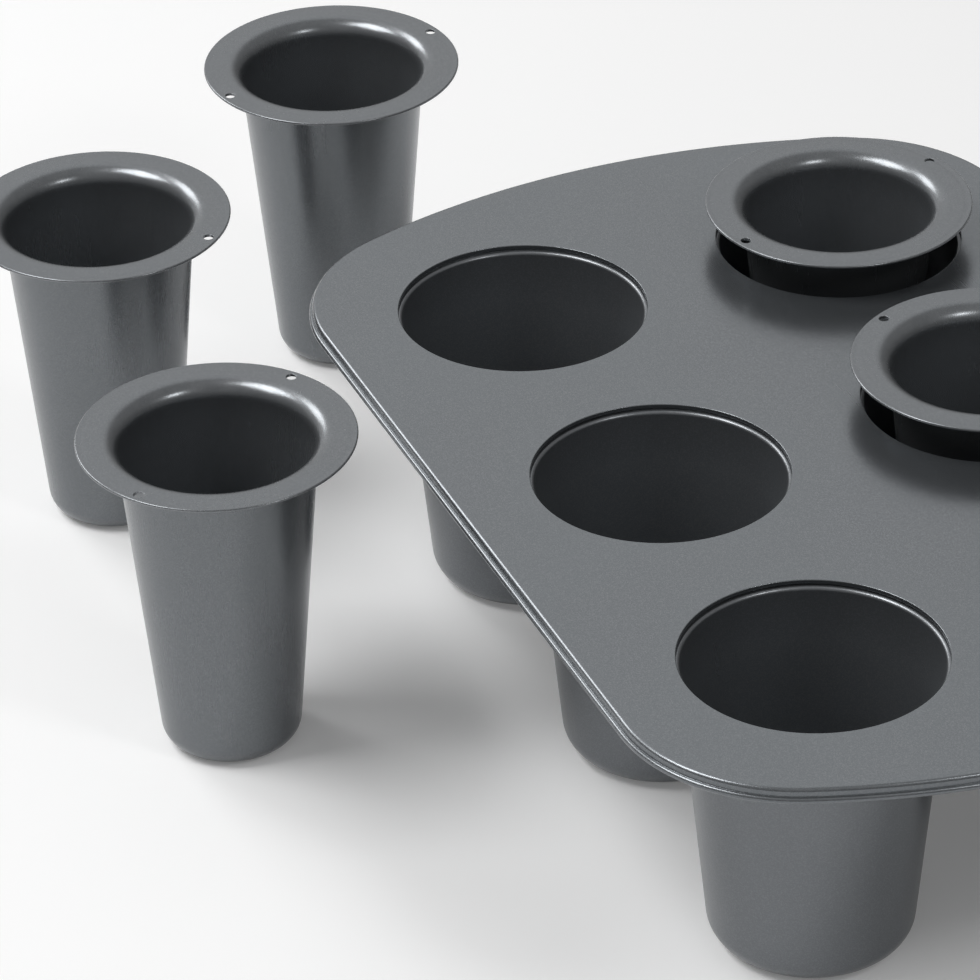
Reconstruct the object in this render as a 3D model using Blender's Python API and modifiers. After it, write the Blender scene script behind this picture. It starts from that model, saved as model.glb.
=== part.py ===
"""Cookie shot glass mould: a sheet-steel pan with six deep cups, and six inserts that lift out of them.

Lengths are in metres, Z is up and the table is z = 0. The rows of cups run along X. Three inserts stand
in the row at +Y, and three stand on the table beside the pan. The origin lies on the table, in the
middle of the whole set's footprint.
"""

import math

import bmesh
import bpy
from mathutils import Matrix, Vector

# Sheet and clearances
SHEET = 0.0007
FIT_GAP = 0.0003

# Cavities and their grid
MOUTH_RADIUS = 0.0285
WEB_ALONG = 0.0214
WEB_ACROSS = 0.0226
CUPS_IN_ROW = 3
ROWS = 2

# Pan: height of the deck above the table, and the deck left outside the outer mouths
PAN_HEIGHT = 0.0696
END_MARGIN = 0.0265
SIDE_MARGIN = 0.0175
END_ARC_RADIUS = 0.1684
CORNER_RADIUS = 0.0387

# Rim of the pan: a bend, a short drop and an outward bead
RIM_BEND = 0.0009
RIM_DROP = 0.0019
BEAD_RADIUS = 0.0007
BEAD_PROUD = 0.0008

# Seam of each cup: the deck's neck turned down, and the cup's ledge under it
NECK_BEND = 0.0002
NECK_DEPTH = 0.0011
LEDGE_WIDTH = 0.0009
SHOULDER_RADIUS = 0.00015

# Cup wall, measured outside
CUP_FOOT_RADIUS = 0.02185
CUP_FOOT_FILLET = 0.0062

# Insert: what it leaves for the dough at its top and foot, how far it is taller than the pan
DOUGH_GAP_TOP = 0.0052
DOUGH_GAP_FOOT = 0.00575
INSERT_TALLER = 0.0085
INSERT_FOOT_FILLET = 0.005
LIP_RADIUS = 0.0033
FLANGE_OVERLAP = 0.0025
HOLE_RADIUS = 0.0012
HOLE_INSET = 0.0023
CUTTER_OVERRUN = 0.002

# Places of the inserts on the table, measured from the pan's bead
BACK_STAND_GAP = 0.02785
BACK_STAND_ASIDE = 0.0426
CORNER_STAND_GAP = 0.00155
CORNER_STAND_BEYOND = 0.0109
FRONT_STAND_GAP = 0.0097
FRONT_STAND_ASIDE = 0.0414

# Turn of each insert's pair of holes about its axis, in degrees
CAVITY_INSERT_TURNS = (106.9, 29.1, 68.0)
STANDING_INSERT_TURNS = (100.9, 44.2, 124.7)

# Facets: steps of turns and fillets, angles in degrees, and how near points are made one
TURN_STEPS = 28
FILLET_STEPS = 3
SMALL_FILLET_STEPS = 2
CORNER_STEPS = 10
END_STEPS = 12
BEAD_STEPS = 7
HOLE_SIDES = 12
BEAD_END_ANGLE = 140
SHARP_ANGLE = 40
MERGE_DISTANCE = 0.00001

# Sizes that follow from the ones above
PITCH_ALONG = 2 * MOUTH_RADIUS + WEB_ALONG
PITCH_ACROSS = 2 * MOUTH_RADIUS + WEB_ACROSS
HALF_LENGTH = (CUPS_IN_ROW - 1) * PITCH_ALONG / 2 + MOUTH_RADIUS + END_MARGIN
HALF_WIDTH = (ROWS - 1) * PITCH_ACROSS / 2 + MOUTH_RADIUS + SIDE_MARGIN
BEAD_LENGTH = HALF_LENGTH + BEAD_PROUD
BEAD_WIDTH = HALF_WIDTH + BEAD_PROUD
LEDGE_DEPTH = NECK_DEPTH + FIT_GAP
CUP_TOP_RADIUS = MOUTH_RADIUS - LEDGE_WIDTH + SHEET
CRIMP_RADIUS = MOUTH_RADIUS + SHEET + FIT_GAP + SHEET
INSERT_HEIGHT = PAN_HEIGHT + INSERT_TALLER
INSERT_TOP_RADIUS = CUP_TOP_RADIUS - SHEET - DOUGH_GAP_TOP
INSERT_FOOT_RADIUS = CUP_FOOT_RADIUS - SHEET - DOUGH_GAP_FOOT
FLANGE_RADIUS = MOUTH_RADIUS + FLANGE_OVERLAP
HOLE_CIRCLE_RADIUS = FLANGE_RADIUS - HOLE_INSET
SEATED_HEIGHT = SHEET + FIT_GAP

# Where the middle of the pan lies, seen from the middle of the footprint
PAN_X = (BACK_STAND_GAP + 2 * FLANGE_RADIUS) / 2
PAN_Y = (FRONT_STAND_GAP + 2 * FLANGE_RADIUS) / 2

# Finish: base colour, roughness and metallic value
DECK_FINISH = ((0.155, 0.162, 0.168), 0.42, 0.55)
CUP_FINISH = ((0.135, 0.141, 0.147), 0.40, 0.55)
INSERT_FINISH = ((0.148, 0.153, 0.158), 0.38, 0.55)


def clear_scene():
    """Remove every object that the scene holds."""
    for obj in list(bpy.data.objects):
        bpy.data.objects.remove(obj, do_unlink=True)


def new_collection(name):
    """Return a collection of this name, linked to the scene."""
    collection = bpy.data.collections.new(name)
    bpy.context.scene.collection.children.link(collection)
    return collection


def coated_steel(name, finish):
    """Return a Principled material with the colour, roughness and metallic value of a finish."""
    colour, roughness, metallic = finish
    material = bpy.data.materials.new(name)
    material.use_nodes = True
    shader = material.node_tree.nodes["Principled BSDF"]
    shader.inputs["Base Color"].default_value = (*colour, 1.0)
    shader.inputs["Roughness"].default_value = roughness
    shader.inputs["Metallic"].default_value = metallic
    return material


def rounded_corner(before, corner, after, radius, steps):
    """Return the points of the arc that rounds the corner between two straight runs."""
    back = (before - corner).normalized()
    ahead = (after - corner).normalized()
    half = back.angle(ahead) / 2
    centre = corner + (back + ahead).normalized() * radius / math.sin(half)
    start = corner + back * radius / math.tan(half) - centre
    end = corner + ahead * radius / math.tan(half) - centre
    sweep = math.copysign(math.pi - 2 * half, start.cross(end))
    return [centre + Matrix.Rotation(sweep * i / steps, 2) @ start for i in range(steps + 1)]


def rounded_profile(corners):
    """Return a profile's points. A corner is (distance from the axis, height, fillet radius, its steps)."""
    spots = [Vector((r, z)) for r, z, _, _ in corners]
    points = [spots[0]]
    for i in range(1, len(corners) - 1):
        fillet, steps = corners[i][2:]
        if fillet:
            points += rounded_corner(spots[i - 1], spots[i], spots[i + 1], fillet, steps)
        else:
            points.append(spots[i])
    return points + [spots[-1]]


def turned_shell(name, profile, collection):
    """Turn an outer profile, listed from top to bottom, about Z and thicken it inwards to the sheet."""
    mesh = bpy.data.meshes.new(name)
    edges = [(i, i + 1) for i in range(len(profile) - 1)]
    mesh.from_pydata([(r, 0, z) for r, z in profile], edges, [])
    obj = bpy.data.objects.new(name, mesh)
    collection.objects.link(obj)
    screw = obj.modifiers.new("Turn", "SCREW")
    screw.steps = screw.render_steps = TURN_STEPS
    screw.use_merge_vertices = True
    screw.merge_threshold = MERGE_DISTANCE
    wall = obj.modifiers.new("Sheet", "SOLIDIFY")
    wall.thickness = SHEET
    wall.offset = -1
    wall.use_even_offset = True
    return obj


def realised(obj, material):
    """Return the mesh of an object with its modifiers applied, shaded smooth, and remove the object."""
    graph = bpy.context.evaluated_depsgraph_get()
    mesh = bpy.data.meshes.new_from_object(obj.evaluated_get(graph))
    mesh.name = obj.name
    mesh.materials.clear()
    mesh.materials.append(material)
    mesh.shade_smooth()
    mesh.set_sharp_from_angle(angle=math.radians(SHARP_ANGLE))
    bpy.data.objects.remove(obj, do_unlink=True)
    return mesh


def place(name, mesh, spot, turn, collection):
    """Add an object that shows a mesh at a spot, turned about Z by an angle in degrees."""
    obj = bpy.data.objects.new(name, mesh)
    obj.location = spot
    obj.rotation_euler.z = math.radians(turn)
    collection.objects.link(obj)
    return obj


def cavity_spots():
    """Return the axes of the six cavities at table height: the open row first, each from the far end."""
    spots = []
    for row in range(ROWS):
        y = PAN_Y + (row - (ROWS - 1) / 2) * PITCH_ACROSS
        for cup in range(CUPS_IN_ROW):
            spots.append(Vector((PAN_X + (cup - (CUPS_IN_ROW - 1) / 2) * PITCH_ALONG, y, 0)))
    return spots


def outline(offset):
    """Return the pan's outline moved out by an offset: bowed ends, round corners and straight sides."""
    corner_y = HALF_WIDTH - CORNER_RADIUS
    bow_x = HALF_LENGTH - END_ARC_RADIUS
    corner_x = bow_x + math.sqrt((END_ARC_RADIUS - CORNER_RADIUS) ** 2 - corner_y ** 2)
    tilt = math.atan2(corner_y, corner_x - bow_x)
    half = []
    for i in range(CORNER_STEPS + 1):
        angle = -math.pi / 2 + (math.pi / 2 - tilt) * i / CORNER_STEPS
        half.append(arc_point(corner_x, -corner_y, CORNER_RADIUS + offset, angle))
    for i in range(1, END_STEPS):
        angle = tilt * (2 * i / END_STEPS - 1)
        half.append(arc_point(bow_x, 0, END_ARC_RADIUS + offset, angle))
    for i in range(CORNER_STEPS + 1):
        angle = tilt + (math.pi / 2 - tilt) * i / CORNER_STEPS
        half.append(arc_point(corner_x, corner_y, CORNER_RADIUS + offset, angle))
    return half + [(-x, -y) for x, y in half]


def arc_point(x, y, radius, angle):
    """Return the point of a circle round (x, y) at an angle."""
    return x + radius * math.cos(angle), y + radius * math.sin(angle)


def circle(centre, radius):
    """Return the points of a circle round a vertical axis."""
    angles = [2 * math.pi * i / TURN_STEPS for i in range(TURN_STEPS)]
    return [arc_point(centre.x, centre.y, radius, angle) for angle in angles]


def ring(bm, points, z):
    """Add a ring of vertices at a height and return them."""
    return [bm.verts.new((x, y, z)) for x, y in points]


def skin_between(bm, rings):
    """Loft each ring to the next with four-sided faces."""
    for upper, lower in zip(rings, rings[1:]):
        for i in range(len(upper)):
            bm.faces.new((upper[i - 1], upper[i], lower[i], lower[i - 1]))


def loop_edges(bm, verts):
    """Return the edges that run round a ring."""
    return [bm.edges.get((verts[i - 1], verts[i])) for i in range(len(verts))]


def rim_section():
    """Return the rim's section as (offset from the wall's outer face, height from the deck's top)."""
    section = [(-RIM_BEND, 0)]
    for i in range(1, FILLET_STEPS + 1):
        angle = math.pi / 2 * (1 - i / FILLET_STEPS)
        section.append(arc_point(-RIM_BEND, -RIM_BEND, RIM_BEND, angle))
    bead_x = BEAD_PROUD - BEAD_RADIUS
    bead_z = -RIM_DROP - BEAD_RADIUS
    first = math.acos(-bead_x / BEAD_RADIUS)
    last = -math.radians(BEAD_END_ANGLE)
    for i in range(BEAD_STEPS + 1):
        angle = first + (last - first) * i / BEAD_STEPS
        section.append(arc_point(bead_x, bead_z, BEAD_RADIUS, angle))
    return section + [(-SHEET, bead_z), (-SHEET, -RIM_BEND), (-RIM_BEND, -SHEET)]


def neck_section():
    """Return the section of a mouth's neck as (radius, height from the deck's top)."""
    bend_radius = MOUTH_RADIUS + NECK_BEND
    section = [(bend_radius, 0)]
    for i in range(1, SMALL_FILLET_STEPS + 1):
        angle = math.pi / 2 * (1 + i / SMALL_FILLET_STEPS)
        section.append(arc_point(bend_radius, -NECK_BEND, NECK_BEND, angle))
    outer = MOUTH_RADIUS + SHEET
    return section + [(MOUTH_RADIUS, -NECK_DEPTH), (outer, -NECK_DEPTH), (outer, -SHEET)]


def deck_mesh(material):
    """Return the deck: one sheet between its outer rim and the necks of the six mouths."""
    bm = bmesh.new()
    rim = [ring(bm, outline(offset), z) for offset, z in rim_section()]
    skin_between(bm, rim)
    top, underside = loop_edges(bm, rim[0]), loop_edges(bm, rim[-1])
    middle = Vector((PAN_X, PAN_Y, 0))
    for spot in cavity_spots():
        neck = [ring(bm, circle(spot - middle, radius), z) for radius, z in neck_section()]
        skin_between(bm, neck)
        top += loop_edges(bm, neck[0])
        underside += loop_edges(bm, neck[-1])
    for edges in (top, underside):
        bmesh.ops.triangle_fill(bm, edges=edges, use_beauty=True)
    bmesh.ops.recalc_face_normals(bm, faces=bm.faces)
    mesh = bpy.data.meshes.new("deck")
    bm.to_mesh(mesh)
    bm.free()
    mesh.materials.append(material)
    mesh.shade_smooth()
    mesh.set_sharp_from_angle(angle=math.radians(SHARP_ANGLE))
    return mesh


def cup_profile():
    """Return the cup's outer profile above the table, from the turned-up edge of its seam to its foot."""
    ledge = PAN_HEIGHT - LEDGE_DEPTH - SHEET
    return rounded_profile([
        (CRIMP_RADIUS, PAN_HEIGHT - SHEET - FIT_GAP, 0, 0),
        (CRIMP_RADIUS, ledge, 0, 0),
        (CUP_TOP_RADIUS, ledge, SHOULDER_RADIUS, SMALL_FILLET_STEPS),
        (CUP_FOOT_RADIUS, 0, CUP_FOOT_FILLET, FILLET_STEPS),
        (0, 0, 0, 0),
    ])


def insert_profile():
    """Return the insert's outer profile above its foot, from the edge of its flange to its foot."""
    underside = INSERT_HEIGHT - SHEET
    return rounded_profile([
        (FLANGE_RADIUS, underside, 0, 0),
        (INSERT_TOP_RADIUS, underside, LIP_RADIUS, FILLET_STEPS),
        (INSERT_FOOT_RADIUS, 0, INSERT_FOOT_FILLET, FILLET_STEPS),
        (0, 0, 0, 0),
    ])


def hole_cutter(collection):
    """Return a hidden cutter with a pin for each of the two holes of an insert's flange."""
    bm = bmesh.new()
    depth = SHEET + 2 * CUTTER_OVERRUN
    for side in (-1, 1):
        spot = Vector((side * HOLE_CIRCLE_RADIUS, 0, INSERT_HEIGHT - SHEET / 2))
        bmesh.ops.create_cone(
            bm, cap_ends=True, segments=HOLE_SIDES, radius1=HOLE_RADIUS, radius2=HOLE_RADIUS,
            depth=depth, matrix=Matrix.Translation(spot),
        )
    mesh = bpy.data.meshes.new("flange_hole_cutter")
    bm.to_mesh(mesh)
    bm.free()
    cutter = bpy.data.objects.new("flange_hole_cutter", mesh)
    cutter.hide_render = True
    cutter.display_type = "WIRE"
    collection.objects.link(cutter)
    return cutter


def insert_mesh(material, parts, cutters):
    """Return the insert: a tapered cup with a flat flange and two holes in it."""
    blank = turned_shell("insert", insert_profile(), parts)
    holes = blank.modifiers.new("Flange holes", "BOOLEAN")
    holes.object = hole_cutter(cutters)
    holes.operation = "DIFFERENCE"
    holes.solver = "EXACT"
    return realised(blank, material)


def standing_spots():
    """Return the feet of the three inserts on the table: behind the pan, off its corner and beside it."""
    back_x = PAN_X - BEAD_LENGTH - BACK_STAND_GAP - FLANGE_RADIUS
    corner_x = PAN_X - BEAD_LENGTH - CORNER_STAND_BEYOND
    corner_y = PAN_Y - BEAD_WIDTH - CORNER_STAND_GAP - FLANGE_RADIUS
    front_y = PAN_Y - BEAD_WIDTH - FRONT_STAND_GAP - FLANGE_RADIUS
    return [
        Vector((back_x, PAN_Y - BACK_STAND_ASIDE, 0)),
        Vector((corner_x, corner_y, 0)),
        Vector((PAN_X - FRONT_STAND_ASIDE, front_y, 0)),
    ]


def main():
    """Build the pan, its six cups and the six inserts."""
    clear_scene()
    parts = new_collection("cookie_shot_glass_mould")
    cutters = new_collection("cutters")
    deck = deck_mesh(coated_steel("deck_coating", DECK_FINISH))
    place("deck", deck, (PAN_X, PAN_Y, PAN_HEIGHT), 0, parts)
    cup = realised(
        turned_shell("cavity_cup", cup_profile(), parts), coated_steel("cup_coating", CUP_FINISH)
    )
    for number, spot in enumerate(cavity_spots(), 1):
        place(f"cavity_cup_{number}", cup, spot, 0, parts)
    insert = insert_mesh(coated_steel("insert_coating", INSERT_FINISH), parts, cutters)
    seat = Vector((0, 0, SEATED_HEIGHT))
    seated = [spot + seat for spot in cavity_spots()[-CUPS_IN_ROW:]]
    turns = CAVITY_INSERT_TURNS + STANDING_INSERT_TURNS
    for number, (spot, turn) in enumerate(zip(seated + standing_spots(), turns), 1):
        place(f"insert_{number}", insert, spot, turn, parts)


main()
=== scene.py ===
"""Looks of the cookie shot glass mould: a coated steel pan with six cups, and its six lift-out inserts.

Every visible surface is worked out with numpy as a grid of two parameters: a section of bent sheet,
carried round an axis or along the pan's outline. Lengths are in metres and the table is z = 0.
"""

import logging
import math
from dataclasses import dataclass
from enum import Enum
from typing import Mapping, Sequence

import bmesh
import bpy
import numpy as np
from mathutils import Matrix, Vector


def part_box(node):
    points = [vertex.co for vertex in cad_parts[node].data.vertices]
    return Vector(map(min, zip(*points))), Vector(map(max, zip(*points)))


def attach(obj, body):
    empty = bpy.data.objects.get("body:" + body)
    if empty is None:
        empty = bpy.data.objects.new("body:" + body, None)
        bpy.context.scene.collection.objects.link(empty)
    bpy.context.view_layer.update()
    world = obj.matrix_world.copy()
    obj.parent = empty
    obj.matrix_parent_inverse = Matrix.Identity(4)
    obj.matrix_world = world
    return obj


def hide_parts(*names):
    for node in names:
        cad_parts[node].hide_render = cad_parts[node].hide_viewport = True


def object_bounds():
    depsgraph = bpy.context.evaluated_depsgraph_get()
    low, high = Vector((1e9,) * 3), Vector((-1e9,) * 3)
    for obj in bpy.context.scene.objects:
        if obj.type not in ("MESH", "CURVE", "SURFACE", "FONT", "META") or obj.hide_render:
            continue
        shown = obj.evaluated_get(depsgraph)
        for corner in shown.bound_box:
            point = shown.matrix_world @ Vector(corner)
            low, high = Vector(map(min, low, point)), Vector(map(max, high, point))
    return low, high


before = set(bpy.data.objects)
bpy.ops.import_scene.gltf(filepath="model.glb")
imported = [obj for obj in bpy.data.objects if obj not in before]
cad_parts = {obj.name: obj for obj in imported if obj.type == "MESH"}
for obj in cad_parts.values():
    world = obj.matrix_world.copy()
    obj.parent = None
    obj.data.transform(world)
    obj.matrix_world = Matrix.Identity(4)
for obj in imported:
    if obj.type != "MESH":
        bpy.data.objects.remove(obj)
CAD_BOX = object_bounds()

LOG = logging.getLogger("cookie_shot_mould")

Array = np.ndarray
Colour = tuple[float, float, float]
Socket = bpy.types.NodeSocket
Amount = Socket | float
Group = bpy.types.ShaderNodeTree
Ends = tuple[Group, Mapping[str, Socket], Socket]

# Sheet metal shared by every piece: its thickness, the gap at a seam and the rounding of a cut edge
SHEET = 0.0007
FIT_GAP = 0.0003
EDGE_ROUND = 0.00034

# How finely the surfaces are divided: a bend's longest step and fewest steps, the guard points beside
# it, the distance at which points are merged, and the columns of a turned sheet
FACET_ANGLE = math.radians(8)
FEWEST_FACETS = 3
GUARD = 0.00018
MERGE_DISTANCE = 0.000002
TURN_COLUMNS = 144

# Depths below a cup's top between which painted light comes in on its inner face: the coating turns from the
# outer tone to a paler one, as painted fill light deep in the recess
PAINTED_LIGHT_DEPTHS = (0.004, 0.012)

WHITE = (1.0, 1.0, 1.0, 1.0)
NOISE_MIDDLE = 0.5

# Sockets of a Mix node that mixes colours
MIX_FACTOR = 0
MIX_COLOURS = (6, 7)
MIX_RESULT = 2


class Slot(str, Enum):
    """The record's material slots."""

    DECK = "deck_coating"
    CUP = "cup_coating"
    INSERT = "insert_coating"


class Body(str, Enum):
    """The bodies that the pieces ride on; each insert's number follows its name."""

    PAN = "pan"
    INSERT = "loose_insert_"


@dataclass
class Section:
    """A curve in the plane of (distance out, height), with the unit normals on its left and its wear.

    Wear is 0 on flat sheet and 1 on the crown of a bend or on a cut edge.
    """

    points: Array
    normals: Array
    wear: Array

    def offset(self, distance: float) -> "Section":
        """Return the curve moved along its normals: each point plus its normal times the distance."""
        return Section(self.points + self.normals * distance, self.normals, self.wear)

    def reversed(self) -> "Section":
        """Return the curve run the other way, with its normals kept."""
        return Section(self.points[::-1], self.normals[::-1], self.wear[::-1])

    def then(self, other: "Section") -> "Section":
        """Return this curve followed by another."""
        return Section(
            np.concatenate([self.points, other.points]),
            np.concatenate([self.normals, other.normals]),
            np.concatenate([self.wear, other.wear]),
        )


@dataclass(frozen=True)
class Corner:
    """A corner of a section: distance out, height, radius of the bend, longest step of the run up to it."""

    out: float
    up: float
    bend: float = 0.0
    step: float = 0.006


def spokes(angle: Array) -> Array:
    """Return the unit vectors (cos, sin) of angles, as (count, 2)."""
    return np.stack([np.cos(angle), np.sin(angle)], axis=1)


def left_of(ahead: Array) -> Array:
    """Return a direction of a section turned a quarter turn to the left."""
    return np.array([-ahead[1], ahead[0]])


def lifted(loop: Array, height: float) -> Array:
    """Return a loop of (x, y) points as 3-D points at a height."""
    return np.concatenate([loop, np.full((len(loop), 1), height)], axis=1)


def arc(centre: Array, radius: float, start: float, sweep: float) -> Section:
    """Return an arc: the centre plus the radius times (cos, sin) of evenly spaced angles.

    Args:
        centre: the arc's centre as (out, up).
        radius: its radius.
        start: the angle of its first point.
        sweep: the signed angle that it turns through.

    Returns:
        The arc, with normals on the left of its run and full wear at its middle.
    """
    steps = max(FEWEST_FACETS, math.ceil(abs(sweep) / FACET_ANGLE))
    share = np.linspace(0, 1, steps + 1)
    ring = spokes(start + sweep * share)
    return Section(centre + radius * ring, -math.copysign(1, sweep) * ring, np.sin(math.pi * share))


def run(start: Array, end: Array, step: float) -> Section:
    """Return a straight run between two bends, without its own ends.

    The points are start + (end - start) * share. A guard point stands close to each end, so that the
    shading of the flat isn't pulled over by the bend beside it.

    Args:
        start: where the bend before ends.
        end: where the bend after starts.
        step: the longest distance between points.

    Returns:
        The inner points of the run, with no wear.
    """
    length = float(np.linalg.norm(end - start))
    if length < 3 * GUARD:
        return Section(np.empty((0, 2)), np.empty((0, 2)), np.empty(0))
    count = max(2, math.ceil((length - 2 * GUARD) / step) + 1)
    share = np.linspace(GUARD, length - GUARD, count) / length
    normal = left_of((end - start) / length)
    points = start + np.outer(share, end - start)
    return Section(points, np.tile(normal, (count, 1)), np.zeros(count))


def bent_path(corners: Sequence[Corner]) -> Section:
    """Return a path through corners, each rounded by an arc that is tangent to both of its runs.

    The arc's centre lies one bend radius to the side that the path turns to, and it starts
    radius * tan(turn / 2) before the corner.

    Args:
        corners: the path's corners in order; the first and last have no bend.

    Returns:
        The path with its left normals.
    """
    spots = np.array([(c.out, c.up) for c in corners])
    ahead = np.diff(spots, axis=0)
    ahead /= np.linalg.norm(ahead, axis=1, keepdims=True)
    path = Section(spots[:1], left_of(ahead[0])[None], np.zeros(1))
    for i in range(1, len(corners) - 1):
        before, after = ahead[i - 1], ahead[i]
        turn = math.atan2(before[0] * after[1] - before[1] * after[0], float(before @ after))
        side = math.copysign(1, turn)
        start = spots[i] - before * corners[i].bend * math.tan(abs(turn) / 2)
        centre = start + side * corners[i].bend * left_of(before)
        spoke = start - centre
        bend = arc(centre, corners[i].bend, math.atan2(spoke[1], spoke[0]), turn)
        path = path.then(run(path.points[-1], start, corners[i].step)).then(bend)
    path = path.then(run(path.points[-1], spots[-1], corners[-1].step))
    return path.then(Section(spots[-1:], left_of(ahead[-1])[None], np.zeros(1)))


def folded_sheet(face: Section) -> Section:
    """Return the whole section of a sheet whose outer face is given: face, rounded edge and inner face.

    The edge is a half circle half a sheet in radius, and the inner face is the outer one moved
    along its normals by the sheet.

    Args:
        face: the outer face, from the axis to the free edge, with its normals into the metal.

    Returns:
        One curve from the axis on the outer face to the axis on the inner one.
    """
    normal = face.normals[-1]
    centre = face.points[-1] + normal * SHEET / 2
    edge = arc(centre, SHEET / 2, math.atan2(-normal[1], -normal[0]), math.pi)
    edge = Section(edge.points[1:-1], edge.normals[1:-1], np.ones(len(edge.wear) - 2))
    return face.then(edge).then(face.offset(SHEET).reversed())


def add_object(name: str, data: bpy.types.ID) -> bpy.types.Object:
    """Add an object with its data to the scene, at the origin, and return it."""
    obj = bpy.data.objects.new(name, data)
    bpy.context.scene.collection.objects.link(obj)
    return obj


class PieceMesh:
    """The grids of one piece, joined into one closed mesh with a wear value and a painted-light value at
    each vertex.
    """

    def __init__(self, name: str) -> None:
        """Start an empty piece.

        Args:
            name: the name of the piece and its mesh.
        """
        self.name = name
        self.points: list[Array] = []
        self.wear: list[Array] = []
        self.inside: list[Array] = []
        self.faces: list[Array] = []
        self.count = 0

    def add_grid(self, grid: Array, wear: Array, keep: Array | None = None,
                 inside: Array | None = None) -> None:
        """Add a grid that closes on itself along its columns.

        Face (i, j) joins points (i, j), (i, j + 1), (i + 1, j + 1) and (i + 1, j), with j + 1 taken
        round to the first column.

        Args:
            grid: the points, as (rows, columns, 3).
            wear: the wear of each row.
            keep: which faces are made, as (rows - 1, columns); all of them if left out.
            inside: the share of painted light on each row, from how deep in a cup it lies, 0 to 1; 0 if left
                out.
        """
        rows, columns = grid.shape[:2]
        index = np.arange(rows * columns).reshape(rows, columns) + self.count
        after = np.roll(index, -1, axis=1)
        faces = np.stack([index[:-1], after[:-1], after[1:], index[1:]], axis=-1)
        self.faces.append((faces if keep is None else faces[keep]).reshape(-1, 4))
        self.points.append(grid.reshape(-1, 3))
        self.wear.append(np.repeat(wear, columns))
        self.inside.append(np.repeat(np.zeros(rows) if inside is None else inside, columns))
        self.count += rows * columns

    def build(self, material: bpy.types.Material) -> bpy.types.Object:
        """Make the mesh: merge the points that meet, turn the faces outwards and shade them smooth.

        Args:
            material: the finish of the whole piece.

        Returns:
            The object, at the origin, with its place in its mesh.
        """
        mesh = bpy.data.meshes.new(self.name)
        points = np.concatenate(self.points)
        faces = np.concatenate(self.faces)
        mesh.vertices.add(len(points))
        mesh.vertices.foreach_set("co", points.astype(np.float32).ravel())
        mesh.loops.add(faces.size)
        mesh.loops.foreach_set("vertex_index", faces.astype(np.int32).ravel())
        mesh.polygons.add(len(faces))
        mesh.polygons.foreach_set("loop_start", np.arange(0, faces.size, 4, dtype=np.int32))
        mesh.update(calc_edges=True)
        for title, values in (("wear", self.wear), ("inside", self.inside)):
            layer = mesh.attributes.new(title, "FLOAT", "POINT")
            layer.data.foreach_set("value", np.concatenate(values).astype(np.float32))
        bm = bmesh.new()
        bm.from_mesh(mesh)
        bmesh.ops.remove_doubles(bm, verts=bm.verts, dist=MERGE_DISTANCE)
        bmesh.ops.recalc_face_normals(bm, faces=bm.faces)
        bm.to_mesh(mesh)
        bm.free()
        mesh.materials.append(material)
        mesh.shade_smooth()
        return add_object(self.name, mesh)


def painted_light_by_depth(section: Section, top: float) -> Array:
    """Return the share of painted light at each point of a cup's whole sheet, which pales the coating deep
    in the cup.

    It is 0 on the outer face and at the top, and on the inner face it rises evenly with the depth
    between two depths, to 1.

    Args:
        section: the sheet's whole section, its outer face first.
        top: the height of the cup's top.

    Returns:
        One value a point.
    """
    inner = np.arange(len(section.points)) >= len(section.points) // 2
    start, end = PAINTED_LIGHT_DEPTHS
    return np.where(inner, np.clip((top - section.points[:, 1] - start) / (end - start), 0.0, 1.0), 0.0)


def dress(obj: bpy.types.Object, body: str, node: str) -> None:
    """Put a finished piece on its body, in place of its CAD node, and report it.

    Args:
        obj: the finished piece.
        body: the CAD body that it rides on.
        node: the CAD node that it stands for.
    """
    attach(obj, body)
    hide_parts(node)
    LOG.info("%s: %d faces, rides on %s, stands for %s", obj.name, len(obj.data.polygons), body, node)


def turned(section: Section, axis: Array, turn: float = 0.0) -> Array:
    """Return the grid of a section turned about a vertical axis.

    Point (i, j) is the axis plus (out * cos, out * sin, up), at angle turn + 2 pi * j / columns.

    Args:
        section: the section, as distance from the axis and height above the axis's foot.
        axis: the foot of the axis.
        turn: the angle of the first column.

    Returns:
        The points, as (rows, columns, 3).
    """
    angle = turn + 2 * math.pi * np.arange(TURN_COLUMNS) / TURN_COLUMNS
    out, up = section.points[:, :1], section.points[:, 1:]
    grid = np.stack([out * np.cos(angle), out * np.sin(angle), up + np.zeros_like(angle)], axis=-1)
    return axis + grid


def between(start: Array, end: Array, rows: int) -> Array:
    """Return a grid of straight lines from one loop to another: start + (end - start) * share."""
    share = np.linspace(0, 1, rows)[:, None, None]
    return start + (end - start) * share


def loop_of_cell(grid: Array, top: int, bottom: int, left: int, right: int) -> Array:
    """Return the points round a rectangular cell of a grid, in order, each once."""
    return np.concatenate([
        grid[top, left:right],
        grid[top:bottom, right],
        grid[bottom, right:left:-1],
        grid[bottom:top:-1, left],
    ])


def foot_of(node: str) -> Array:
    """Return the middle of a CAD node's box, at the height of its lowest point."""
    low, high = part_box(node)
    return np.array([(low.x + high.x) / 2, (low.y + high.y) / 2, low.z])


# Nodes that the materials and the surround share, and the coatings' node groups


def new_group(name: str, inputs: dict[str, float | None], output: str) -> Ends:
    """Return an empty shader node group and its two ends.

    Args:
        name: the group's name.
        inputs: each input's name with its default number, or None for a vector.
        output: the name of the one number that it puts out.

    Returns:
        The group, the outputs that hand its inputs on, and the socket that its number goes to.
    """
    group = bpy.data.node_groups.new(name, "ShaderNodeTree")
    for title, value in inputs.items():
        kind = "NodeSocketVector" if value is None else "NodeSocketFloat"
        socket = group.interface.new_socket(title, in_out="INPUT", socket_type=kind)
        if value is not None:
            socket.default_value = value
    group.interface.new_socket(output, in_out="OUTPUT", socket_type="NodeSocketFloat")
    given = group.nodes.new("NodeGroupInput").outputs
    return group, given, group.nodes.new("NodeGroupOutput").inputs[output]


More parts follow.
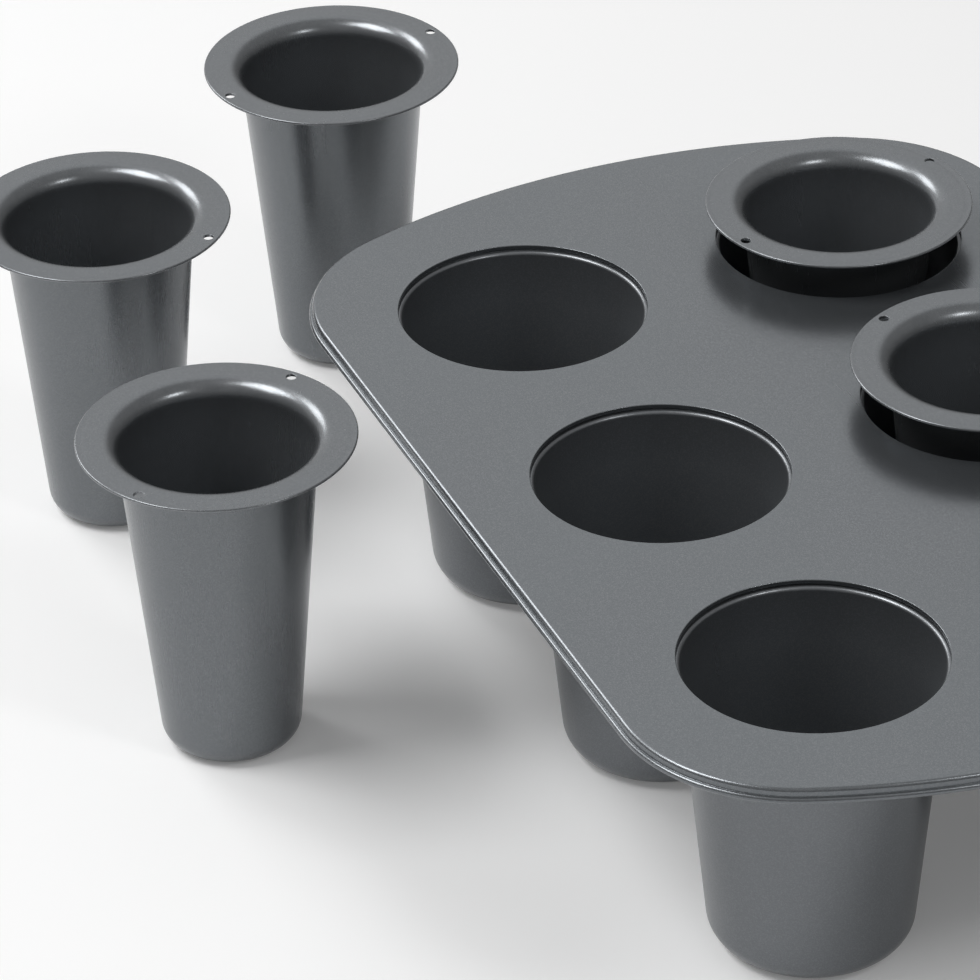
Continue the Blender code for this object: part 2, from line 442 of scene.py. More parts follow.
def feed(tree: Group, value: Amount, socket: Socket) -> None:
    """Set a socket to a number, or link an output to it."""
    if isinstance(value, float):
        socket.default_value = value
    else:
        tree.links.new(value, socket)


def math_node(tree: Group, operation: str, first: Amount, second: Amount) -> Socket:
    """Add a Math node and return its output; each argument is a number or an output."""
    node = tree.nodes.new("ShaderNodeMath")
    node.operation = operation
    feed(tree, first, node.inputs[0])
    feed(tree, second, node.inputs[1])
    return node.outputs[0]


def noise_node(tree: Group, vector: Socket, scale: Amount, detail: float) -> Socket:
    """Add a Noise Texture on a vector and return its value; the scale is a number or an output."""
    node = tree.nodes.new("ShaderNodeTexNoise")
    node.inputs["Detail"].default_value = detail
    tree.links.new(vector, node.inputs["Vector"])
    feed(tree, scale, node.inputs["Scale"])
    return node.outputs["Fac"]


def placed(tree: Group, group: Group, links: dict[str, Socket], values: dict[str, float]) -> Socket:
    """Place a node group in a material's tree.

    Args:
        tree: the material's tree.
        group: the group to place.
        links: outputs to link to its inputs, by name.
        values: numbers for its other inputs, by name.

    Returns:
        The group's only output.
    """
    node = tree.nodes.new("ShaderNodeGroup")
    node.node_tree = group
    for title, output in links.items():
        tree.links.new(output, node.inputs[title])
    for title, value in values.items():
        node.inputs[title].default_value = value
    return node.outputs[0]


def mixed(tree: Group, factor: Socket, base: Colour | Socket, other: Colour) -> Socket:
    """Mix a colour, given as a tuple or an output, with another by a factor, and return the result."""
    node = tree.nodes.new("ShaderNodeMix")
    node.data_type = "RGBA"
    tree.links.new(factor, node.inputs[MIX_FACTOR])
    for index, colour in zip(MIX_COLOURS, (base, other)):
        if isinstance(colour, tuple):
            node.inputs[index].default_value = (*colour, 1.0)
        else:
            tree.links.new(colour, node.inputs[index])
    return node.outputs[MIX_RESULT]


def fleck_group() -> Group:
    """Build the metal flecks of the coating: some cells of a Voronoi pattern, each of its own brightness.

    A fleck's value is the cell's random number less the rarity, so it runs from 0 to 1 - rarity.
    """
    inputs = {"Vector": None, "Scale": 5000.0, "Rarity": 0.5}
    group, given, result = new_group("coating_fleck", inputs, "Fleck")
    cells = group.nodes.new("ShaderNodeTexVoronoi")
    group.links.new(given["Vector"], cells.inputs["Vector"])
    group.links.new(given["Scale"], cells.inputs["Scale"])
    split = group.nodes.new("ShaderNodeSeparateColor")
    group.links.new(cells.outputs["Color"], split.inputs["Color"])
    above = math_node(group, "SUBTRACT", split.outputs["Red"], given["Rarity"])
    group.links.new(math_node(group, "MAXIMUM", above, 0.0), result)
    return group


def grain_group() -> Group:
    """Build the orange peel of a sprayed coating: fine noise over a broader, softer one."""
    inputs = {"Vector": None, "Fine": 2600.0, "Broad": 500.0}
    group, given, result = new_group("coating_grain", inputs, "Height")
    fine = noise_node(group, given["Vector"], given["Fine"], detail=2.0)
    broad = noise_node(group, given["Vector"], given["Broad"], detail=1.0)
    group.links.new(math_node(group, "ADD", fine, broad), result)
    return group


def wear_group() -> Group:
    """Build edge wear: the piece's own wear value, raised to a narrow line and broken up by noise."""
    inputs = {"Vector": None, "Wear": 0.0, "Break Scale": 300.0, "Narrowness": 2.0}
    group, given, result = new_group("edge_wear", inputs, "Mask")
    line = math_node(group, "POWER", given["Wear"], given["Narrowness"])
    broken = noise_node(group, given["Vector"], given["Break Scale"], detail=3.0)
    group.links.new(math_node(group, "MULTIPLY", line, broken), result)
    return group


def centred_noise_group(name: str, scale: float, output: str, detail: float) -> Group:
    """Build a group of noise about zero, -0.5 to 0.5, with its default scale and its finer octaves."""
    group, given, result = new_group(name, {"Vector": None, "Scale": scale}, output)
    noise = noise_node(group, given["Vector"], given["Scale"], detail)
    group.links.new(math_node(group, "SUBTRACT", noise, NOISE_MIDDLE), result)
    return group


@dataclass(frozen=True)
class EffectGroups:
    """The node groups that the coatings share.

    The drift is a slow change of tone and gloss over a baked coating. The streaks are the fine lines
    that pressing leaves in the sheet, made on coordinates squeezed one way.
    """

    fleck: Group
    grain: Group
    wear: Group
    drift: Group
    streak: Group

    @classmethod
    def build(cls) -> "EffectGroups":
        """Build each group once."""
        return cls(
            fleck_group(), grain_group(), wear_group(),
            drift=centred_noise_group("coating_drift", scale=25.0, output="Drift", detail=2.0),
            streak=centred_noise_group("press_lines", scale=900.0, output="Lines", detail=3.0),
        )


@dataclass(frozen=True)
class Coating:
    """A satin non-stick coating: dark grey with fine metal flecks, a light orange peel, worn edges, and
    painted light that pales it deep in a cup.
    """

    name: str
    colour: Colour
    fleck_colour: Colour
    roughness: float
    edge_colour: Colour = (0.38, 0.39, 0.40)
    metallic: float = 0.75
    fleck_scale: float = 5200.0
    fleck_rarity: float = 0.45
    fleck_share: float = 0.30
    drift_span: float = 0.10
    edge_share: float = 0.30
    # Share by which the colour is painted paler deep in a cup: painted fill light in the recess
    painted_light_share: float = 0.46
    edge_narrowness: float = 1.6
    roughness_drift: float = 0.10
    roughness_lines: float = 0.05
    line_squeeze: tuple[float, float, float] = (1.0, 1.0, 0.03)
    grain_depth: float = 0.000012

    def material(self, groups: EffectGroups) -> bpy.types.Material:
        """Build the material.

        Args:
            groups: the shared effects.

        Returns:
            A material on Object coordinates and on each piece's wear and painted-light values; the painted
            light pales the colour deep in a cup.
        """
        made = bpy.data.materials.new(self.name)
        made.use_nodes = True
        tree = made.node_tree
        shader = tree.nodes["Principled BSDF"]
        shader.inputs["Metallic"].default_value = self.metallic
        place = tree.nodes.new("ShaderNodeTexCoord").outputs["Object"]
        wear = tree.nodes.new("ShaderNodeAttribute")
        wear.attribute_name = "wear"
        inside = tree.nodes.new("ShaderNodeAttribute")
        inside.attribute_name = "inside"
        squeeze = tree.nodes.new("ShaderNodeMapping")
        squeeze.inputs["Scale"].default_value = self.line_squeeze
        tree.links.new(place, squeeze.inputs["Vector"])

        fleck = placed(
            tree, groups.fleck, {"Vector": place},
            {"Scale": self.fleck_scale, "Rarity": self.fleck_rarity},
        )
        grain = placed(tree, groups.grain, {"Vector": place}, {})
        drift = placed(tree, groups.drift, {"Vector": place}, {})
        lines = placed(tree, groups.streak, {"Vector": squeeze.outputs["Vector"]}, {})
        edge = placed(
            tree, groups.wear, {"Vector": place, "Wear": wear.outputs["Fac"]},
            {"Narrowness": self.edge_narrowness},
        )

        flecks = math_node(tree, "MULTIPLY", fleck, self.fleck_share / (1 - self.fleck_rarity))
        flecked = mixed(tree, flecks, self.colour, self.fleck_colour)
        tone = math_node(tree, "ADD", math_node(tree, "MULTIPLY", drift, self.drift_span), 1.0)
        # Painted light: the colour is drawn paler deep in the cups, in place of light reaching the recess
        painted_light_lift = math_node(tree, "MULTIPLY", inside.outputs["Fac"], self.painted_light_share)
        tone = math_node(tree, "ADD", tone, painted_light_lift)
        scaled = tree.nodes.new("ShaderNodeVectorMath")
        scaled.operation = "SCALE"
        tree.links.new(flecked, scaled.inputs[0])
        tree.links.new(tone, scaled.inputs["Scale"])
        rubbed = math_node(tree, "MULTIPLY", edge, self.edge_share)
        worn = mixed(tree, rubbed, scaled.outputs[0], self.edge_colour)
        tree.links.new(worn, shader.inputs["Base Color"])

        gloss = math_node(tree, "MULTIPLY", drift, self.roughness_drift)
        gloss = math_node(tree, "ADD", gloss, math_node(tree, "MULTIPLY", lines, self.roughness_lines))
        tree.links.new(math_node(tree, "ADD", gloss, self.roughness), shader.inputs["Roughness"])

        bump = tree.nodes.new("ShaderNodeBump")
        bump.inputs["Distance"].default_value = self.grain_depth
        tree.links.new(grain, bump.inputs["Height"])
        tree.links.new(bump.outputs["Normal"], shader.inputs["Normal"])
        return made


@dataclass
class PanDeck:
    """The pan's deck: one sheet between a rolled rim and the necks of six mouths."""

    mouth_radius: float = 0.0285
    pitch_along: float = 0.0784
    pitch_across: float = 0.0796
    cups_in_row: int = 3
    rows: int = 2
    end_margin: float = 0.0265
    side_margin: float = 0.0175
    end_arc_radius: float = 0.1684
    corner_radius: float = 0.0387
    rim_bend: float = 0.0009
    rim_drop: float = 0.0019
    bead_radius: float = 0.0007
    bead_proud: float = 0.0008
    bead_crease: float = 0.0001
    neck_bend: float = 0.0002
    neck_depth: float = 0.0011
    web_margin: float = 0.003
    cell_side_steps: int = 38
    web_rows: int = 6

    def __post_init__(self) -> None:
        """Work out the outline's arcs and the deck's place from the sizes and the frame."""
        mouths_along = (self.cups_in_row - 1) * self.pitch_along / 2 + self.mouth_radius
        mouths_across = (self.rows - 1) * self.pitch_across / 2 + self.mouth_radius
        self.half_length = mouths_along + self.end_margin
        self.half_width = mouths_across + self.side_margin
        self.corner_y = self.half_width - self.corner_radius
        self.bow_x = self.half_length - self.end_arc_radius
        reach = math.sqrt((self.end_arc_radius - self.corner_radius) ** 2 - self.corner_y ** 2)
        self.corner_x = self.bow_x + reach
        self.tilt = math.atan2(self.corner_y, reach)
        self.bow_length = self.end_arc_radius * self.tilt
        self.corner_length = self.corner_radius * (math.pi / 2 - self.tilt)
        self.quarter = self.bow_length + self.corner_length + self.corner_x
        self.stops_along = self.cell_stops(self.cups_in_row, self.pitch_along)
        self.stops_across = self.cell_stops(self.rows, self.pitch_across)
        low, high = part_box("deck")
        self.middle = np.array([(low.x + high.x) / 2, (low.y + high.y) / 2, high.z])

    def outline(self, along: Array, offset: float) -> Array:
        """Return points of the outline moved out by an offset.

        Over a quarter of the outline, from the middle of the end at +X, the run is the end's bow,
        then the corner, then the straight side. Each point is its arc's centre plus the radius and
        the offset times (cos, sin) of its angle. The other quarters mirror it.

        Args:
            along: distances along the outline, from the middle of the end at +X, anticlockwise.
            offset: how far out of the outline.

        Returns:
            The points as (count, 2), from the deck's middle.
        """
        along = np.mod(along, 4 * self.quarter)
        part = np.floor(along / self.quarter).astype(int)
        rest = along - part * self.quarter
        rest = np.where(part % 2 == 0, rest, self.quarter - rest)
        on_bow = rest < self.bow_length
        on_corner = rest < self.bow_length + self.corner_length
        corner_angle = self.tilt + (rest - self.bow_length) / self.corner_radius
        angle = np.select([on_bow, on_corner], [rest / self.end_arc_radius, corner_angle], math.pi / 2)
        on_side = ~on_bow & ~on_corner
        side_x = self.corner_x - (rest - self.bow_length - self.corner_length)
        centre_x = np.select([on_bow, on_side], [self.bow_x, side_x], self.corner_x)
        centre_y = np.where(on_bow, 0.0, self.corner_y)
        radius = np.where(on_bow, self.end_arc_radius, self.corner_radius) + offset
        x = centre_x + radius * np.cos(angle)
        y = centre_y + radius * np.sin(angle)
        return np.stack([np.where((part == 1) | (part == 2), -x, x), np.where(part >= 2, -y, y)], axis=1)

    def rim_places(self) -> Array:
        """Return distances along the outline, one for each point round the block of cells.

        Each of the block's corners has the point of the outline that lies straight out from it, seen
        from the centre of the outline's corner. Each side between them is evenly divided.
        """
        reach_x, reach_y = self.stops_along[-1] - self.corner_x, self.stops_across[-1] - self.corner_y
        corner = self.bow_length + self.corner_radius * (math.atan2(reach_y, reach_x) - self.tilt)
        half = 2 * self.quarter
        stops = [-corner, corner, half - corner, half + corner, 2 * half - corner]
        sides = 2 * [self.rows, self.cups_in_row]
        return np.concatenate([
            np.linspace(start, end, side * self.cell_side_steps, endpoint=False)
            for start, end, side in zip(stops, stops[1:], sides)
        ])

    def rim_section(self) -> Section:
        """Return the rim: underside, inner wall, rolled bead, crease above it, drop and bend."""
        low = -self.rim_drop - 2 * self.bead_radius
        roll = self.bead_radius - GUARD / 4
        flat = -self.rim_bend - 2 * GUARD
        return bent_path([
            Corner(flat, -SHEET),
            Corner(-SHEET, -SHEET, GUARD / 2),
            Corner(-SHEET, low, roll),
            Corner(self.bead_proud, low, roll),
            Corner(self.bead_proud, -self.rim_drop, roll),
            Corner(0.0, -self.rim_drop, self.bead_crease),
            Corner(0.0, 0.0, self.rim_bend),
            Corner(flat, 0.0),
        ])

    def neck_section(self) -> Section:
        """Return a mouth's neck: underside, outer wall, rounded lower edge, inner wall and bend."""
        flat = self.mouth_radius + self.neck_bend + 2 * GUARD
        outer = self.mouth_radius + SHEET
        return bent_path([
            Corner(flat + SHEET, -SHEET),
            Corner(outer, -SHEET, GUARD / 2),
            Corner(outer, -self.neck_depth, EDGE_ROUND),
            Corner(self.mouth_radius, -self.neck_depth, EDGE_ROUND),
            Corner(self.mouth_radius, 0.0, self.neck_bend),
            Corner(flat, 0.0),
        ])

    def cell_stops(self, count: int, pitch: float) -> Array:
        """Return where the rectangles of deck round a line of mouths begin and end, from the deck's middle.

        Two neighbouring rectangles meet halfway between their mouths, and an outer side lies a
        margin outside the mouth.

        Args:
            count: how many mouths stand in the line.
            pitch: the distance between two of their middles.

        Returns:
            The places of the count + 1 sides.
        """
        inner = (np.arange(1, count) - count / 2) * pitch
        end = (count - 1) * pitch / 2 + self.mouth_radius + self.web_margin
        return np.concatenate([[-end], inner, [end]])

    def divided(self, stops: Array) -> Array:
        """Return places along a side, with each stretch between two stops divided into even steps."""
        stretches = [
            np.linspace(start, end, self.cell_side_steps, endpoint=False)
            for start, end in zip(stops, stops[1:])
        ]
        return np.concatenate([*stretches, stops[-1:]])

    def rectangle(self, along: Array, across: Array) -> Array:
        """Return the points round a rectangle, anticlockwise from its right near corner, each once.

        Args:
            along: the stops of its sides that run along X, from left to right.
            across: the stops of its other sides, from near to far.

        Returns:
            The points as (count, 2).
        """
        over, up = self.divided(along), self.divided(across)
        return np.concatenate([
            np.stack([np.full(len(up) - 1, over[-1]), up[:-1]], axis=1),
            np.stack([over[:0:-1], np.full(len(over) - 1, up[-1])], axis=1),
            np.stack([np.full(len(up) - 1, over[0]), up[:0:-1]], axis=1),
            np.stack([over[:-1], np.full(len(over) - 1, up[0])], axis=1),
        ])

    def make(self, material: bpy.types.Material) -> None:
        """Build the deck, dress it and report it.

        The rim is point (i, j) = outline at place j, moved out by the section's distance i, at its
        height i. A neck is its section turned about its mouth. Between them lie flat webs, whose
        points run straight from a mouth to its rectangle and from the block of rectangles to the rim.
        """
        piece = PieceMesh("deck_sheet")
        rim = self.rim_section()
        places = self.rim_places()
        grid = np.stack([
            lifted(self.outline(places, out), up) for out, up in rim.points
        ])
        piece.add_grid(grid + self.middle, rim.wear)
        block = self.rectangle(self.stops_along, self.stops_across)
        for row, height in ((-1, 0.0), (0, -SHEET)):
            web = between(lifted(block, height), grid[row], self.web_rows)
            piece.add_grid(web + self.middle, np.zeros(self.web_rows))
        for column in range(self.cups_in_row):
            for row in range(self.rows):
                self.add_mouth(piece, column, row)
        dress(piece.build(material), Body.PAN.value, "deck")

    def add_mouth(self, piece: PieceMesh, column: int, row: int) -> None:
        """Add a mouth's neck and the webs on both faces of the sheet round it."""
        spot = np.array([
            (column - (self.cups_in_row - 1) / 2) * self.pitch_along,
            (row - (self.rows - 1) / 2) * self.pitch_across,
        ])
        neck = self.neck_section()
        count = 4 * self.cell_side_steps
        ring = spokes(-math.pi / 4 + 2 * math.pi * np.arange(count) / count)
        grid = np.stack([lifted(spot + out * ring, up) for out, up in neck.points])
        piece.add_grid(grid + self.middle, neck.wear)
        edge = self.rectangle(self.stops_along[column:column + 2], self.stops_across[row:row + 2])
        for index, height in ((-1, 0.0), (0, -SHEET)):
            web = between(grid[index], lifted(edge, height), self.web_rows)
            piece.add_grid(web + self.middle, np.zeros(self.web_rows))


@dataclass
class CavityCup:
    """One of the pan's deep cups: a tapered wall, a ledge round its mouth and an edge folded up the neck."""

    number: int
    pan_height: float = 0.0696
    mouth_radius: float = 0.0285
    ledge_depth: float = 0.0014
    ledge_width: float = 0.0009
    shoulder: float = 0.00015
    foot_radius: float = 0.02185
    foot_fillet: float = 0.0062
    fold: float = 0.00072

    def face(self) -> Section:
        """Return the outer face from the middle of the foot to the folded-up edge."""
        ledge = self.pan_height - self.ledge_depth - SHEET
        top = self.mouth_radius - self.ledge_width + SHEET
        fold = self.mouth_radius + 2 * SHEET + FIT_GAP
        return bent_path([
            Corner(0.0, 0.0),
            Corner(self.foot_radius, 0.0, self.foot_fillet),
            Corner(top, ledge, self.shoulder),
            Corner(fold, ledge, self.fold, self.ledge_width / 2),
            Corner(fold, self.pan_height - SHEET - FIT_GAP - SHEET / 2),
        ])

    def make(self, material: bpy.types.Material) -> None:
        """Build the cup by turning its sheet about its axis, dress it and report it."""
        node = f"cavity_cup_{self.number}"
        section = folded_sheet(self.face())
        piece = PieceMesh(f"cup_shell_{self.number}")
        # The cup's sheet gets painted light, paler deeper down its inner face
        inside = painted_light_by_depth(section, self.pan_height)
        piece.add_grid(turned(section, foot_of(node)), section.wear, inside=inside)
        dress(piece.build(material), Body.PAN.value, node)


@dataclass
class Insert:
    """A lift-out insert: a tapered cup with a flat flange, a soft lip and two small holes."""

    number: int
    turn: float
    height: float = 0.0781
    top_radius: float = 0.0224
    foot_radius: float = 0.0154
    foot_fillet: float = 0.005
    lip: float = 0.0033
    flange_radius: float = 0.031
    flange_step: float = 0.00045
    crease_inset: float = 0.0013
    crease_width: float = 0.00035
    crease_depth: float = 0.00007
    hole_radius: float = 0.0012
    hole_inset: float = 0.0023
    hole_edge: float = 0.00012
    hole_room: float = 0.0019
    hole_columns: int = 2
    hole_rows: int = 5

    def face(self) -> Section:
        """Return the outer face from the middle of the foot to the flange's edge."""
        under = self.height - SHEET
        return bent_path([
            Corner(0.0, 0.0),
            Corner(self.foot_radius, 0.0, self.foot_fillet),
            Corner(self.top_radius, under, self.lip),
            Corner(self.flange_radius - SHEET / 2, under, 0.0, self.flange_step),
        ])

    def section(self) -> Section:
        """Return the whole sheet with the flange's faint crease.

        The crease lowers the sheet by depth * exp(-((out - place) / width) ^ 2).
        """
        whole = folded_sheet(self.face())
        out, up = whole.points.T
        place = self.flange_radius - self.crease_inset
        dip = self.crease_depth * np.exp(-((out - place) / self.crease_width) ** 2)
        on_flange = up > self.height - 2 * SHEET
        whole.points[:, 1] -= np.where(on_flange, dip, 0.0)
        return whole

    def hole_wall(self, top: Array, under: Array, centre: Array) -> tuple[Array, Array]:
        """Return the grid of one hole, from a cell's loop on the flange's top to the loop on its underside.

        The rows run straight from the loop to the hole's rounded edge, over the edge on a quarter
        circle, down the wall and out again the same way. Each column keeps its own angle.

        Args:
            top: the loop round the cell on the top face.
            under: the loop round the same cell on the underside.
            centre: the hole's middle, at the height of the sheet's middle.

        Returns:
            The points as (rows, columns, 3) and the wear of each row.
        """
        spoke = top[:, :2] - centre[:2]
        spoke /= np.linalg.norm(spoke, axis=1, keepdims=True)
        rise = np.linspace(0, math.pi / 2, self.hole_rows)
        half = SHEET / 2
        out = self.hole_radius + self.hole_edge * (1 - np.sin(rise))
        up = half - self.hole_edge * (1 - np.cos(rise))
        radii = np.concatenate([out, out[::-1]])
        heights = np.concatenate([up, -up[::-1]])
        rings = np.stack([lifted(centre[:2] + r * spoke, centre[2] + z) for r, z in zip(radii, heights)])
        guard = self.hole_edge + GUARD
        flat = [np.concatenate([centre[:2] + (self.hole_radius + guard) * spoke, loop[:, 2:]], axis=1)
                for loop in (top, under)]
        grid = np.concatenate([
            between(top, flat[0], self.hole_rows), rings, between(flat[1], under, self.hole_rows)
        ])
        calm = np.zeros(self.hole_rows)
        return grid, np.concatenate([calm, np.ones(len(rings)), calm])

    def make(self, material: bpy.types.Material) -> None:
        """Build the insert: the turned sheet without a cell at each hole, and the holes' own grids."""
        node = f"insert_{self.number}"
        foot = foot_of(node)
        section = self.section()
        quarter = TURN_COLUMNS // 4
        start = math.radians(self.turn) - math.pi / 2
        grid = turned(section, foot, start)
        circle = self.flange_radius - self.hole_inset
        out, up = section.points.T
        on_under = np.arange(len(out)) < len(out) // 2
        near = (np.abs(out - circle) < self.hole_room) & (up > self.height - 2 * SHEET) & on_under
        first, last = np.flatnonzero(near)[[0, -1]]
        keep = np.ones((len(out) - 1, TURN_COLUMNS), bool)
        piece = PieceMesh(f"insert_shell_{self.number}")
        for middle in (quarter, 3 * quarter):
            left, right = middle - self.hole_columns, middle + self.hole_columns
            keep[first:last, left:right] = False
            keep[len(out) - 1 - last:len(out) - 1 - first, left:right] = False
            under = loop_of_cell(grid, first, last, left, right)
            top = loop_of_cell(grid[::-1], first, last, left, right)
            angle = start + 2 * math.pi * middle / TURN_COLUMNS
            spot = np.array([math.cos(angle) * circle, math.sin(angle) * circle, self.height - SHEET / 2])
            piece.add_grid(*self.hole_wall(top, under, foot + spot))
        # The insert's sheet gets painted light, paler deeper down its inner face
        piece.add_grid(grid, section.wear, keep, painted_light_by_depth(section, self.height))
        dress(piece.build(material), Body.INSERT.value + str(self.number), node)


@dataclass(frozen=True)
class PhotoCamera:
    """The camera at the photograph's viewpoint, in the frame of the object."""

    place: tuple[float, float, float] = (1.00738, -0.42243, 0.72281)
    yaw: float = -68.536
    pitch: float = 32.05
    roll: float = 1.48
    sensor: float = 36.0
    focal_pixels: float = 5675.84
    image_pixels: float = 980.0
    clip_start: float = 0.05
    clip_end: float = 50.0

    def make(self) -> None:
        """Add the camera: its axes come from the yaw, the pitch down and the roll, in degrees."""
        yaw, pitch, roll = (math.radians(a) for a in (self.yaw, self.pitch, self.roll))
        ahead = Vector((math.sin(yaw) * math.cos(pitch), math.cos(yaw) * math.cos(pitch), -math.sin(pitch)))
        level = ahead.cross(Vector((0, 0, 1))).normalized()
        down = ahead.cross(level)
        right = level * math.cos(roll) + down * math.sin(roll)
        below = down * math.cos(roll) - level * math.sin(roll)
        data = bpy.data.cameras.new("photo_camera")
        data.sensor_width = self.sensor
        data.lens = self.focal_pixels / self.image_pixels * self.sensor
        data.clip_start, data.clip_end = self.clip_start, self.clip_end
        camera = add_object("photo_camera", data)
        turn = Matrix((right, -below, -ahead)).transposed().to_4x4()
        camera.matrix_world = Matrix.Translation(self.place) @ turn
        bpy.context.scene.camera = camera


def direction(azimuth: float, elevation: float) -> Vector:
    """Return the unit vector of two angles: (sin a * cos e, -cos a * cos e, sin e).

    Args:
        azimuth: degrees from -Y towards +X.
        elevation: degrees above the level.

    Returns:
        The direction.
    """
    turn, rise = math.radians(azimuth), math.radians(elevation)
    return Vector((math.sin(turn) * math.cos(rise), -math.cos(turn) * math.cos(rise), math.sin(rise)))


@dataclass(frozen=True)
class SoftBox:
    """A square studio lamp that faces the object's middle."""

    name: str
    azimuth: float
    elevation: float
    distance: float
    width: float
    power: float

    def make(self, target: Vector) -> None:
        """Add the lamp at its distance from the target, in the direction of its two angles."""
        away = direction(self.azimuth, self.elevation)
        data = bpy.data.lights.new(self.name, "AREA")
        data.shape = "SQUARE"
        data.size = self.width
        data.energy = self.power
        lamp = add_object(self.name, data)
        lamp.location = target + away * self.distance
        lamp.rotation_mode = "QUATERNION"
        lamp.rotation_quaternion = (-away).to_track_quat("-Z", "Y")


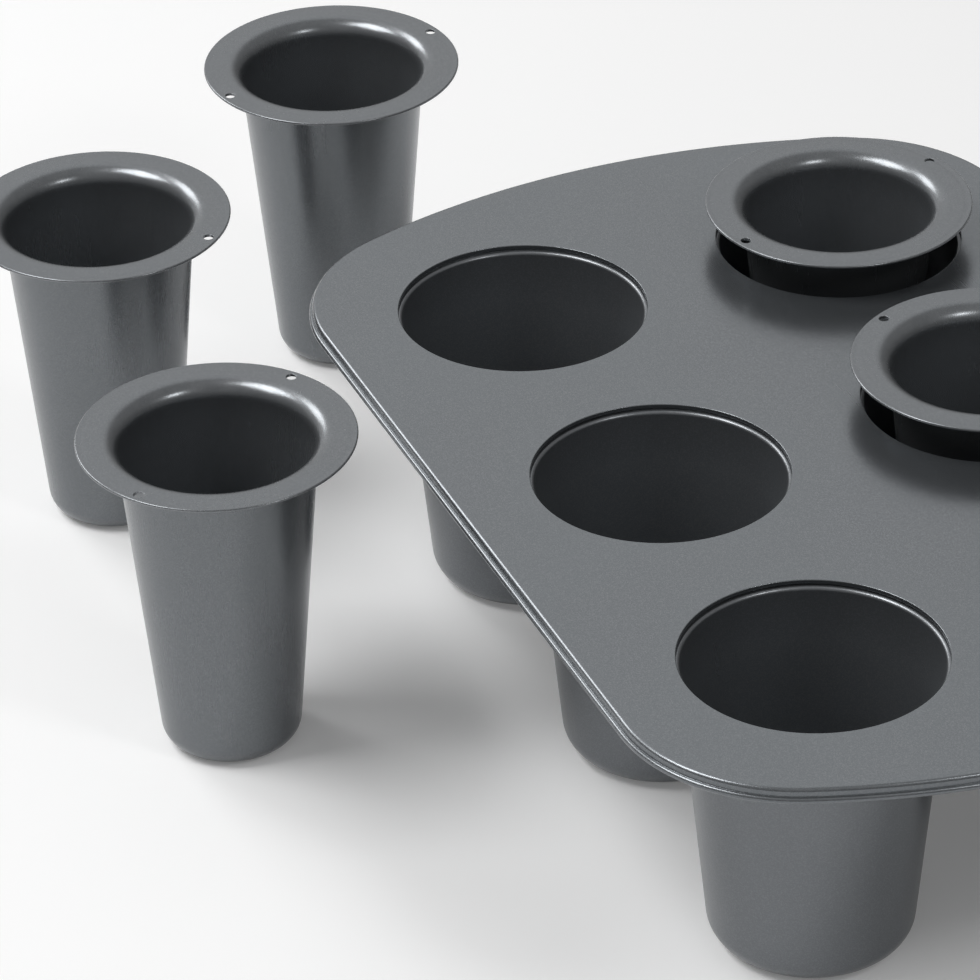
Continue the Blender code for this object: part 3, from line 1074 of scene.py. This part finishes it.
@dataclass
class Studio:
    """A pale floor, a dim surround with one broad window behind the set, and three soft boxes."""

    floor_colour: Colour = (0.93, 0.93, 0.93)
    floor_unevenness: float = 0.006
    floor_cloud_scale: float = 3.0
    floor_roughness: float = 0.85
    floor_specular: float = 0.1
    floor_half: float = 12.0
    floor_lift: float = 0.11
    fill: float = 0.29
    top_level: float = 1.2
    height_shares: tuple[tuple[float, float], ...] = (
        (0.0, 0.38), (0.25, 0.52), (0.5, 0.84), (0.75, 0.84), (1.0, 1.0),
    )
    window_azimuth: float = -86.5
    window_elevation: float = 30.0
    window_inner: float = 24.0
    window_outer: float = 50.0
    dim_share: float = 0.34
    lamps: tuple[SoftBox, ...] = (
        SoftBox("key_box", azimuth=-16.0, elevation=57.0, distance=1.6, width=0.80, power=14.0),
        SoftBox("twin_box", azimuth=110.0, elevation=45.0, distance=0.6, width=0.10, power=0.36),
        SoftBox("rim_box", azimuth=-68.0, elevation=34.0, distance=1.7, width=0.62, power=6.5),
    )

    def window_light(self, tree: Group, ahead: Socket) -> Socket:
        """Build the window's share of a direction: 1 near the window's middle, the dim share far from it.

        The angle between the two directions is measured by its cosine, their dot product.

        Args:
            tree: the surround's tree.
            ahead: the direction's output.

        Returns:
            The share, which changes smoothly between the inner and the outer angle.
        """
        dot = tree.nodes.new("ShaderNodeVectorMath")
        dot.operation = "DOT_PRODUCT"
        tree.links.new(ahead, dot.inputs[0])
        dot.inputs[1].default_value = direction(self.window_azimuth, self.window_elevation)
        edge = tree.nodes.new("ShaderNodeMapRange")
        edge.interpolation_type = "SMOOTHSTEP"
        edge.inputs["From Min"].default_value = math.cos(math.radians(self.window_outer))
        edge.inputs["From Max"].default_value = math.cos(math.radians(self.window_inner))
        edge.inputs["To Min"].default_value = self.dim_share
        tree.links.new(dot.outputs["Value"], edge.inputs["Value"])
        return edge.outputs["Result"]

    def world(self) -> None:
        """Build the surround: white to the camera, an even fill on matt surfaces, graded in reflections.

        The level of a reflected direction is the window's share times a share read at its height,
        the sine of its elevation. The whole is fill + (level - fill) * glossy, and 1 to the camera.
        """
        world = bpy.data.worlds.new("studio_surround")
        world.use_nodes = True
        tree = world.node_tree
        path = tree.nodes.new("ShaderNodeLightPath")
        ahead = tree.nodes.new("ShaderNodeTexCoord").outputs["Generated"]
        split = tree.nodes.new("ShaderNodeSeparateXYZ")
        tree.links.new(ahead, split.inputs["Vector"])
        ramp = tree.nodes.new("ShaderNodeValToRGB")
        stops = ramp.color_ramp.elements
        for height, _ in self.height_shares[1:-1]:
            stops.new(height)
        for stop, (_, share) in zip(stops, self.height_shares):
            stop.color = (share, share, share, 1.0)
        tree.links.new(split.outputs["Z"], ramp.inputs["Fac"])
        camera, glossy = path.outputs["Is Camera Ray"], path.outputs["Is Glossy Ray"]
        unseen = math_node(tree, "SUBTRACT", 1.0, camera)
        level = ramp.outputs["Color"]
        for operation, amount in (
            ("MULTIPLY", self.top_level), ("MULTIPLY", self.window_light(tree, ahead)),
            ("SUBTRACT", self.fill), ("MULTIPLY", glossy), ("ADD", self.fill),
            ("MULTIPLY", unseen), ("ADD", camera),
        ):
            level = math_node(tree, operation, level, amount)
        background = tree.nodes["Background"]
        background.inputs["Color"].default_value = WHITE
        tree.links.new(level, background.inputs["Strength"])
        bpy.context.scene.world = world

    def floor(self) -> None:
        """Build the floor: a wide square, matt and pale, with a barely uneven tone."""
        half = self.floor_half
        corners = [(-half, -half, 0), (half, -half, 0), (half, half, 0), (-half, half, 0)]
        mesh = bpy.data.meshes.new("studio_floor")
        mesh.from_pydata(corners, [], [range(len(corners))])
        material = bpy.data.materials.new("studio_floor_paper")
        material.use_nodes = True
        tree = material.node_tree
        shader = tree.nodes["Principled BSDF"]
        shader.inputs["Roughness"].default_value = self.floor_roughness
        shader.inputs["Specular IOR Level"].default_value = self.floor_specular
        place = tree.nodes.new("ShaderNodeTexCoord").outputs["Object"]
        ramp = tree.nodes.new("ShaderNodeValToRGB")
        for stop, change in zip(ramp.color_ramp.elements, (-self.floor_unevenness, self.floor_unevenness)):
            stop.color = (*(c + change for c in self.floor_colour), 1.0)
        tree.links.new(noise_node(tree, place, self.floor_cloud_scale, detail=2.0), ramp.inputs["Fac"])
        tree.links.new(ramp.outputs["Color"], shader.inputs["Base Color"])
        path = tree.nodes.new("ShaderNodeLightPath")
        seen = math_node(tree, "ADD", path.outputs["Is Camera Ray"], path.outputs["Is Glossy Ray"])
        lift = math_node(tree, "MULTIPLY", seen, self.floor_lift)
        shader.inputs["Emission Color"].default_value = WHITE
        tree.links.new(lift, shader.inputs["Emission Strength"])
        mesh.materials.append(material)
        floor = add_object("studio_floor", mesh)

    def make(self) -> None:
        """Build the surround, the floor and the lamps, and set the plain view transform."""
        self.world()
        self.floor()
        low, high = CAD_BOX
        for lamp in self.lamps:
            lamp.make((low + high) / 2)
        bpy.context.scene.view_settings.view_transform = "Standard"


@dataclass
class MouldSet:
    """The whole set: deck, six cups and six inserts, with their three coatings."""

    insert_turns: tuple[float, ...] = (106.9, 29.1, 68.0, 100.9, 44.2, 124.7)
    cups: int = 6
    deck_finish: Coating = Coating(
        Slot.DECK.value, colour=(0.153, 0.165, 0.176), fleck_colour=(0.30, 0.31, 0.32), roughness=0.25,
        line_squeeze=(0.03, 1.0, 1.0), edge_share=0.22,
    )
    cup_finish: Coating = Coating(
        Slot.CUP.value, colour=(0.165, 0.175, 0.186), fleck_colour=(0.29, 0.30, 0.31), roughness=0.30,
        # Painted light deep in the cups is a little weaker than in the inserts
        painted_light_share=0.38,
    )
    insert_finish: Coating = Coating(
        Slot.INSERT.value, colour=(0.155, 0.165, 0.175), fleck_colour=(0.29, 0.30, 0.31), roughness=0.26,
    )

    def make(self) -> None:
        """Build every piece of the set."""
        groups = EffectGroups.build()
        PanDeck().make(self.deck_finish.material(groups))
        cup_material = self.cup_finish.material(groups)
        for number in range(1, self.cups + 1):
            CavityCup(number).make(cup_material)
        insert_material = self.insert_finish.material(groups)
        for number, turn in enumerate(self.insert_turns, 1):
            Insert(number, turn).make(insert_material)


def main() -> None:
    """Build the camera, the studio and the mould, in that order."""
    logging.basicConfig(level=logging.INFO, format="%(name)s: %(message)s")
    PhotoCamera().make()
    Studio().make()
    MouldSet().make()


if __name__ == "__main__":
    main()
